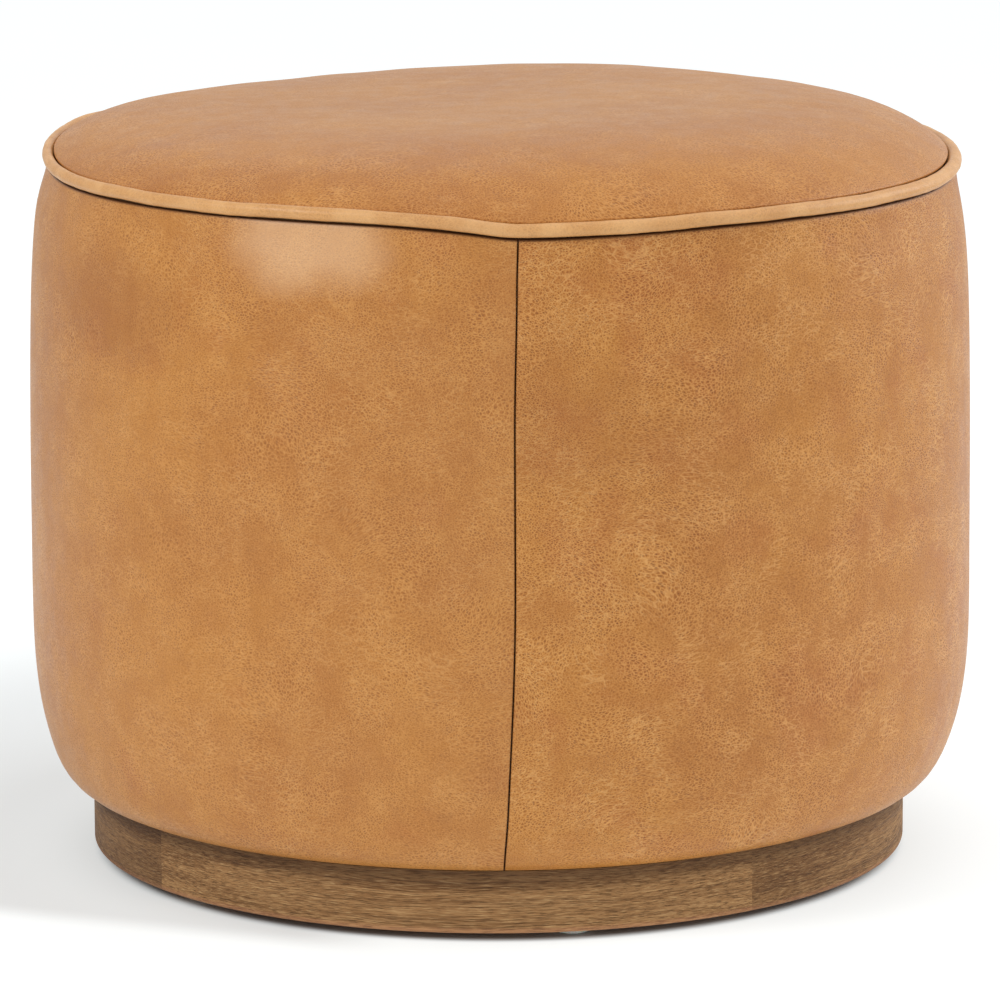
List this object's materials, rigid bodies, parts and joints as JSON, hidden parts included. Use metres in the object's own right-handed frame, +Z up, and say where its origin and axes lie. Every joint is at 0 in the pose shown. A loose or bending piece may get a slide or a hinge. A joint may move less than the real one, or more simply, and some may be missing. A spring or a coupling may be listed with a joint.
{
  "type": "round leather pouf",
  "caption": "Round drum pouf in piped tan leather, with a domed padded seat, seamed barrel side and a wood plinth on small glides.",
  "frame": {"origin": "on the floor under the centre of the pouf, level with the bottoms of the glides", "axes": "+Z up through the middle of the seat, -Y towards the front, where one vertical seam lies, +X to the right seen from the front"},
  "size_m": [0.55, 0.55, 0.4378],
  "materials": {
    "leather": "pebbled tan leather, waxed, semi-matt",
    "piping_leather": "the same leather stretched over a cord, a little paler",
    "cord": "twisted welt cord",
    "thread": "bonded sewing thread, brown",
    "wadding": "fluffy polyester fibre",
    "soft_foam": "open-cell foam, pale yellow",
    "firm_foam": "open-cell foam, pale blue",
    "hessian": "plain-woven hessian",
    "webbing": "woven elastic webbing, black with a pale stripe",
    "plywood": "raw plywood with layered edges",
    "timber": "planed softwood",
    "bendy_board": "thin brown fibreboard",
    "plinth_wood": "brown stained hardwood, oiled, open grain",
    "dowel_wood": "fluted beech",
    "steel": "zinc-plated steel",
    "nylon": "translucent white nylon",
    "dust_fabric": "black spun-bonded fabric"
  },
  "bodies": {
    "root": {"bottom_board": "plywood", "crown_foam": "soft_foam", "deck_cloth": "hessian", "dust_cover": "dust_fabric", "dust_cover_staples": "steel", "frame_screws": "steel", "glide_1": "nylon", "glide_2": "nylon", "glide_3": "nylon", "glide_4": "nylon", "glide_5": "nylon", "glide_6": "nylon", "glide_nails": "steel", "leather_staples": "steel", "middle_ring": "plywood", "piping_cord": "cord", "piping_cover": "piping_leather", "plinth_back": "plinth_wood", "plinth_dowels": "dowel_wood", "plinth_front": "plinth_wood", "plinth_left": "plinth_wood", "plinth_right": "plinth_wood", "plinth_screws": "steel", "seat_foam": "firm_foam", "seat_leather": "leather", "seat_wadding": "wadding", "side_foam": "soft_foam", "side_leather_back_left": "leather", "side_leather_back_right": "leather", "side_leather_front_left": "leather", "side_leather_front_right": "leather", "side_seam_threads": "thread", "side_shell": "bendy_board", "side_wadding": "wadding", "top_ring": "plywood", "top_seam_thread": "thread", "upright_1": "timber", "upright_2": "timber", "upright_3": "timber", "upright_4": "timber", "upright_5": "timber", "upright_6": "timber", "upright_7": "timber", "upright_8": "timber", "webbing_across_1": "webbing", "webbing_across_2": "webbing", "webbing_across_3": "webbing", "webbing_across_4": "webbing", "webbing_along_1": "webbing", "webbing_along_2": "webbing", "webbing_along_3": "webbing", "webbing_along_4": "webbing", "webbing_staples": "steel"}
  },
  "joints": []
}
